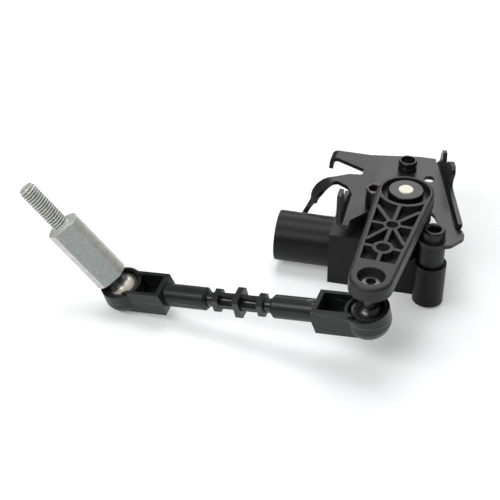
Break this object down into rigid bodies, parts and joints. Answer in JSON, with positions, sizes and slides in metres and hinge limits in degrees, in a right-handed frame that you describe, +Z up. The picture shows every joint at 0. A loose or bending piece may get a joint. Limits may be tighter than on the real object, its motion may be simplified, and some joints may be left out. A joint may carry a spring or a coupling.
{
  "type": "ride height sensor",
  "caption": "Vehicle ride height sensor: sealed angle sensor on a folded steel bracket, with a ribbed lever and a drop link ending in a threaded ball stud with two flats.",
  "frame": {"origin": "on the back cover's resting face, on the sensor shaft's axis", "axes": "+Z up along the shaft towards the lever; +X away from the plug socket, which opens towards -X; the lever points towards -Y at rest"},
  "size_m": [0.1443, 0.1015, 0.0498],
  "materials": {
    "housing_plastic": "fine moulded grain, satin black",
    "cover_plastic": "moulded black",
    "board_laminate": "green solder mask",
    "bush_bronze": "sintered bronze",
    "seal_rubber": "oiled black rubber",
    "insert_brass": "machined",
    "spacer_steel": "black oxide",
    "bracket_coat": "satin black dip coat",
    "screw_black": "black zinc",
    "screw_left_black": "black zinc, worn to steel at the rim",
    "nut_black": "glossy black zinc",
    "lever_plastic": "glass filled dark grey plastic",
    "cap_plastic": "glossy black",
    "shaft_plastic": "ivory plastic",
    "magnet_holder": "plastic bonded magnet",
    "stud_black": "greased black steel",
    "seat_plastic": "greased black plastic",
    "link_plastic": "moulded black plastic",
    "rod_plastic": "moulded black plastic",
    "stud_zinc": "zinc plated, matt grey",
    "terminal_tin": "tin plated brass"
  },
  "bodies": {
    "sensor": {"housing": "housing_plastic", "back_cover": "cover_plastic", "circuit_board": "board_laminate", "bearing_bush": "bush_bronze", "shaft_seal": "seal_rubber", "terminal_1": "terminal_tin", "terminal_2": "terminal_tin", "terminal_3": "terminal_tin", "terminal_4": "terminal_tin", "terminal_5": "terminal_tin", "terminal_6": "terminal_tin", "insert_right": "insert_brass", "insert_left": "insert_brass", "spacer_right": "spacer_steel", "spacer_left": "spacer_steel", "bracket": "bracket_coat", "screw_right": "screw_black", "screw_left": "screw_left_black", "press_nut": "nut_black"},
    "lever": {"lever_arm": "lever_plastic", "hub_cap": "cap_plastic", "shaft": "shaft_plastic", "rotor_magnet": "magnet_holder", "lever_ball_stud": "stud_black"},
    "seat_right": {"ball_seat_right": "seat_plastic"},
    "link": {"link_end_right": "link_plastic", "link_rod": "rod_plastic", "link_end_left": "link_plastic"},
    "seat_left": {"ball_seat_left": "seat_plastic"},
    "stud": {"outer_ball_stud": "stud_zinc"}
  },
  "joints": [
    {"name": "lever_swing", "type": "hinge", "parent": "sensor", "child": "lever", "pos_m": [0, 0, 0], "axis": [0, 0, 1], "range_deg": [-35, 35]},
    {"name": "link_yaw", "type": "hinge", "parent": "lever", "child": "seat_right", "pos_m": [-0.00396, -0.05034, 0.0239], "axis": [0, 0, 1], "range_deg": [-15, 60]},
    {"name": "link_tilt", "type": "hinge", "parent": "seat_right", "child": "link", "pos_m": [-0.00396, -0.05034, 0.0239], "axis": [0.1599, 0.9871, 0], "range_deg": [-4, 36]},
    {"name": "stud_yaw", "type": "hinge", "parent": "link", "child": "seat_left", "pos_m": [-0.09092, -0.0363, 0.00804], "axis": [-0.2063, -0.1945, 0.959], "range_deg": [-90, 90]},
    {"name": "stud_tilt", "type": "hinge", "parent": "seat_left", "child": "stud", "pos_m": [-0.09092, -0.0363, 0.00804], "axis": [0.1469, 0.9628, 0.2268], "range_deg": [0, 40]}
  ]
}
